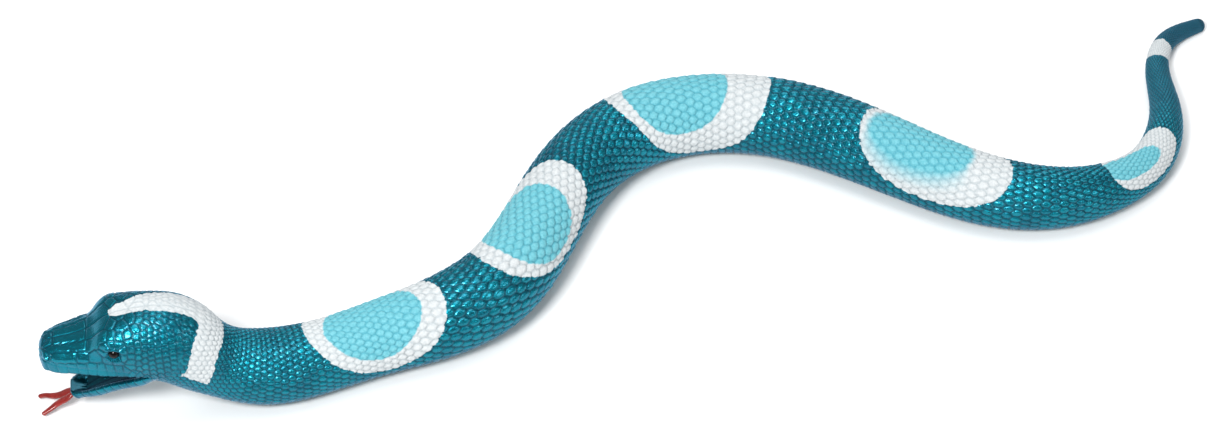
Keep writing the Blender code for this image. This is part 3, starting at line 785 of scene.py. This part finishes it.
def build_jaw(spine):
    """The trough of the lower jaw: its outside from the near rim to the far one, then its inside back."""
    x = np.concatenate([np.arange(-4.0, 45.0, 0.5), np.arange(45.0, 47.01, 0.2)])[::-1]
    bends = natural_spline(JAW_TABLE[:, 0], JAW_TABLE[:, 1:])
    half, rim, low = evaluate(JAW_TABLE[:, 0], JAW_TABLE[:, 1:], bends, x).T
    outside = np.linspace(1, -1, OUTSIDE)
    inside = np.linspace(-1, 1, INSIDE + 2)[1:-1]
    y_out = half[:, None] * np.sign(outside) * np.abs(np.sin(outside * math.pi / 2)) ** 0.85
    z_out = rim[:, None] - (rim - low)[:, None] * np.abs(np.cos(outside * math.pi / 2)) ** 0.80
    depth = np.minimum((rim - low) * 0.62, 4.4) * smoothstep(45.6, 39.0, x)
    rim = rim + 0.9 * np.exp(-(((x - 45.6) / 0.9) ** 2))
    y_in = (half - 1.5 * smoothstep(47.0, 44.8, x))[:, None] * inside
    z_in = rim[:, None] - depth[:, None] * (1 - np.abs(inside) ** 3.2)
    z_in += 0.4 * smoothstep(1.0, 0.96, np.abs(inside))
    z_in += 0.42 * np.cos(inside * 13.5)[None, :] * smoothstep(43, 36, x)[:, None] * (1 - np.abs(inside) ** 2)
    local = np.zeros((len(x), OUTSIDE + INSIDE, 3))
    local[:, :, 0] = x[:, None]
    local[:, :OUTSIDE, 1], local[:, OUTSIDE:, 1] = y_out, y_in
    local[:, :OUTSIDE, 2], local[:, OUTSIDE:, 2] = z_out, z_in
    opened = (local / 1000) @ JAW_ARRAY[:3, :3].T + JAW_ARRAY[:3, 3]
    # its rear end is the throat, just inside the head's skin
    centres, radii, _, side, up = spine.frames((SKULL_AT * 1000 - x) / 1000)
    turns = math.pi - outside * (math.pi - BELLY_EDGE)
    out = np.cos(turns)[None, :, None] * up[:, None] - np.sin(turns)[None, :, None] * side[:, None]
    throat = np.empty_like(opened)
    throat[:, :OUTSIDE] = centres[:, None] + (radii - 0.0005)[:, None, None] * out
    back = math.pi + inside * -1 * (math.pi - BELLY_EDGE) * 0.93
    out = np.cos(back)[None, :, None] * up[:, None] - np.sin(back)[None, :, None] * side[:, None]
    throat[:, OUTSIDE:] = centres[:, None] + (radii - 0.0030)[:, None, None] * out
    share = smoothstep(-3.0, 11.0, x)[:, None, None]
    points = throat * (1 - share) + opened * share
    normals = grid_normals(points)
    # lip scales along the outside and small ones under the chin
    column = np.arange(OUTSIDE + INSIDE)[None, :]
    is_out = column < OUTSIDE
    down = np.abs(np.concatenate([outside, inside]))[None, :]
    lip_u = x[:, None] / 4.2
    lip_border = np.minimum((0.5 - np.abs(lip_u - np.round(lip_u))) * 4.2, np.abs(down - 0.66) * 14)
    chin_u, chin_v = np.broadcast_arrays(x[:, None] / 3.9, (1 - down) * 16 / 3.4)
    border, _, _, row, cells = scale_cells(chin_u, chin_v)
    border = np.where(down > 0.66, lip_border, border)
    relief = 0.32 * mound(border, 0.8) * is_out * smoothstep(46.8, 44.8, x)[:, None]
    points = points + normals * relief[..., None] / 1000
    values = {
        "white_mm": np.full(relief.shape, UNPAINTED),
        "blue_mm": np.full(relief.shape, UNPAINTED),
        "groove": np.where(is_out, np.exp(-((np.clip(border, 0, None) / 0.3) ** 2)), 0.0),
        "cell": hashed(row, cells) * is_out,
        "glossy": np.full(relief.shape, 0.7),
        "dull": np.zeros_like(relief),
        # the inside of the trough takes the mouth's painted shade
        "mouth": np.where(is_out, 0.0, 0.75) * np.ones_like(relief),
    }
    return make_piece("jaw_skin", points, grid_normals(points), values, (True, True))


def build_tongue():
    """A forked tongue with rounded edges, from the notch in the jaw to its two tips."""
    droop = Matrix.Rotation(TONGUE_DROOP, 4, "Y")
    place = JAW_ARRAY @ np.array(Matrix.Translation(TONGUE_ROOT) @ droop)
    prongs = []
    for side in (1, -1):
        t = np.linspace(0, 1, 56)
        # the line of one prong, its half width and half thickness, in mm
        length = NEAR_PRONG if side > 0 else FAR_PRONG
        x = 0.6 + (length - 0.6) * t
        y = side * np.interp(x, [-1, 3, 6, 10, 13, 16, 19, length], [1.0, 1.25, 2.1, 2.3, 2.9, 4.4, 5.9, 6.4])
        half = np.interp(x, [-1, 2.5, 5, 7, 10, 14, 17, length], [1.15, 1.15, 1.9, 2.1, 1.95, 1.7, 1.35, 1.1])
        kernel = np.ones(7) / 7
        y = np.convolve(np.pad(y, 3, mode="edge"), kernel, "valid")
        half = np.convolve(np.pad(half, 3, mode="edge"), kernel, "valid")
        half *= np.sqrt(np.clip(1 - ((x - length + 1.1) / 1.15).clip(0, 1) ** 2, 0.02, 1))
        thick = 0.98 * np.minimum(1.0, half / 0.8)
        lift = 0.9 * smoothstep(15, 22, x) - 0.5 * np.sin(np.clip(x / 17, 0, 1) * math.pi)
        ang = np.linspace(0, 2 * math.pi, 20, endpoint=False)
        slope = np.gradient(y, x)
        nx, ny = -slope / np.hypot(1, slope), 1 / np.hypot(1, slope)
        ring = np.zeros((len(x), len(ang), 3))
        cos, sin = np.cos(ang), np.sin(ang)
        wide = np.sign(cos) * np.abs(cos) ** 0.7
        ring[:, :, 0] = x[:, None] + nx[:, None] * half[:, None] * wide
        ring[:, :, 1] = y[:, None] + ny[:, None] * half[:, None] * wide
        ring[:, :, 2] = lift[:, None] + thick[:, None] * np.sign(sin) * np.abs(sin) ** 0.8
        prongs.append((ring / 1000) @ place[:3, :3].T + place[:3, 3])
    made = []
    for ring, name in zip(prongs, ("tongue_fork_near", "tongue_fork_far")):
        index, faces = ring_quads(*ring.shape[:2])
        faces += [index[0][::-1].tolist(), index[-1].tolist()]
        mesh = bpy.data.meshes.new(name)
        mesh.from_pydata(ring.reshape(-1, 3).tolist(), [], faces)
        mesh.shade_smooth()
        made.append(add_object(name, mesh))
    first, second = made
    union = first.modifiers.new("join", "BOOLEAN")
    union.operation = "UNION"
    union.object = second
    remesh = first.modifiers.new("even", "REMESH")
    remesh.mode = "VOXEL"
    remesh.voxel_size = 0.00022
    soften = first.modifiers.new("soften", "SMOOTH")
    soften.factor, soften.iterations = 0.5, 6
    bpy.context.view_layer.update()
    mesh = bpy.data.meshes.new_from_object(first.evaluated_get(bpy.context.evaluated_depsgraph_get()))
    for obj in made:
        bpy.data.objects.remove(obj, do_unlink=True)
    mesh.name = "tongue_soft"
    mesh.shade_smooth()
    return add_object("tongue_soft", mesh), Vector(place[:3, 3]), Vector(place[:3, 0])


def build_eye(side):
    centre = from_head(EYE_AT * [1, side, 1])
    outward = HEAD_ARRAY[:3, 1] * side
    name = "eye_bead_left" if side > 0 else "eye_bead_right"
    mesh = bpy.data.meshes.new(name)
    rings, columns = 20, 40
    points, faces = [], []
    base = Vector(outward).to_track_quat("Z", "Y").to_matrix()
    for i in range(rings + 1):
        tilt = math.pi * i / rings
        for j in range(columns):
            turn = 2 * math.pi * j / columns
            bulge = 1.0 + 0.05 * math.exp(-((tilt / 0.5) ** 2))
            wide, tall = 1.08 * math.sin(tilt) * math.cos(turn), math.sin(tilt) * math.sin(turn)
            local = Vector((wide, tall, bulge * math.cos(tilt)))
            points.append(Vector(centre) + base @ (local * EYE_RADIUS / 1000 * 0.97))
    for i in range(rings):
        for j in range(columns):
            k = (j + 1) % columns
            faces.append((i * columns + j, (i + 1) * columns + j, (i + 1) * columns + k, i * columns + k))
    mesh.from_pydata(points, [], faces)
    mesh.shade_smooth()
    return add_object(name, mesh)


# ---------------------------------------------------------------- assembly

for leftover in list(bpy.data.objects):
    bpy.data.objects.remove(leftover, do_unlink=True)
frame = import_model()

spine = Spine(SPINE)
share = np.arange(len(SECTIONS)) / len(SECTIONS)
joints = HEAD_SPINE + (spine.length - HEAD_SPINE) * (1 - (1 - share) ** SECTION_TAPER)
ends = np.append(joints, spine.length)
middles = (ends[:-1] + ends[1:]) / 2

stations, points, normals, values = build_skin(spine)
skin = skin_material()


def add_skin(name, low, high, closed_ends=(False, False)):
    part = slice(int(np.argmin(np.abs(stations - low))), int(np.argmin(np.abs(stations - high))) + 1)
    cut = {key: value[part] for key, value in values.items()}
    obj = make_piece(name, points[part], normals[part], cut, closed_ends)
    obj.data.materials.append(skin)
    return obj


head_end = 0.0165
head = add_skin("head_skin", stations[0], head_end, (True, False))
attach(head, "head")
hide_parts("head")

# Rounded end of the tail
tip_centre, tip_radius, tip_along, _, _ = (a[0] for a in spine.frames([spine.length]))
last_ring = points[-1]
cap_rings, cap_angles = [], np.radians([72, 55, 40, 26, 13])
for angle in cap_angles:
    ring = tip_centre + (last_ring - tip_centre) * math.sin(angle)
    cap_rings.append(ring + tip_along * tip_radius * math.cos(angle))
points = np.concatenate([points, np.array(cap_rings)])
normals = grid_normals(points)
stations = np.concatenate([stations, spine.length + tip_radius * np.cos(cap_angles)])
for key in values:
    values[key] = np.concatenate([values[key], np.repeat(values[key][-1:], len(cap_rings), axis=0)])

chain = ["head", *SECTIONS]
starts = [head_end, *middles[:-1]]
stops = [*middles[:-1], stations[-1]]
for i, (low, high) in enumerate(zip(starts, stops)):
    before, after = chain[i], SECTIONS[i]
    last = i == len(SECTIONS) - 1
    piece = add_skin(f"{after}_skin", low, high, (False, last))
    centre, _, along, _, _ = (a[0] for a in spine.frames([joints[i]]))
    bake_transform(piece)
    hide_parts(after)

jaw = build_jaw(spine)
jaw.data.materials.append(skin)
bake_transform(jaw)
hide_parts("lower_jaw")

tongue, root, forward = build_tongue()
tongue.data.materials.append(tongue_material())
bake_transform(tongue)
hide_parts("tongue")

bead = eye_material()
for side, node in ((1, "eye_left"), (-1, "eye_right")):
    eye_obj = build_eye(side)
    eye_obj.data.materials.append(bead)
    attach(eye_obj, "head")
    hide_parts(node)

wire = wire_material()
for name, node in frame["nodes"].items():
    if name.startswith("wire_"):
        node.data.materials.clear()
        node.data.materials.append(wire)

# ---------------------------------------------------------------- stage


def soft_lamp(name, place, size, power):
    """An area lamp of this size in metres and power in watts, aimed at the origin."""
    data = bpy.data.lights.new(name, "AREA")
    data.shape = "RECTANGLE"
    data.size, data.size_y = size
    data.energy = power
    obj = add_object(name, data)
    obj.location = place
    obj.rotation_euler = (-Vector(place)).to_track_quat("-Z", "Y").to_euler()


floor_mesh = bpy.data.meshes.new("floor")
floor_corners = [(x * FLOOR_HALF, y * FLOOR_HALF, FLOOR_Z) for x, y in ((-1, -1), (1, -1), (1, 1), (-1, 1))]
floor_mesh.from_pydata(floor_corners, [], [(0, 1, 2, 3)])
floor = add_object("floor", floor_mesh)
pale = bpy.data.materials.new("pale_floor")
pale.use_nodes = True
pale.node_tree.nodes["Principled BSDF"].inputs["Base Color"].default_value = (0.90, 0.90, 0.90, 1)
pale.node_tree.nodes["Principled BSDF"].inputs["Roughness"].default_value = 0.9
floor_mesh.materials.append(pale)

world = bpy.data.worlds.new("studio")
bpy.context.scene.world = world
world.use_nodes = True
world.node_tree.nodes["Background"].inputs["Color"].default_value = (0.95, 0.97, 1.0, 1)
world.node_tree.nodes["Background"].inputs["Strength"].default_value = 0.36
soft_lamp("key", (-0.60, -1.25, 1.5), (0.50, 0.42), 35)
soft_lamp("top", (-0.1, -0.1, 1.9), (1.2, 0.8), 12)
soft_lamp("fill", (1.0, -0.8, 1.0), (0.6, 0.6), 5)
soft_lamp("back", (0.1, 1.3, 1.2), (1.6, 0.7), 9)
bpy.context.scene.view_settings.view_transform = "Standard"

camera_data = bpy.data.cameras.new("camera")
camera = add_object("camera", camera_data)
camera.location = LOOK_AT + CAMERA_DISTANCE * Vector((0, -math.cos(ELEVATION), math.sin(ELEVATION)))
camera.rotation_euler = (math.pi / 2 - ELEVATION, 0, 0)
camera_data.sensor_width = SENSOR
camera_data.lens = LENS
camera_data.clip_start, camera_data.clip_end = 0.05, 20
bpy.context.scene.camera = camera
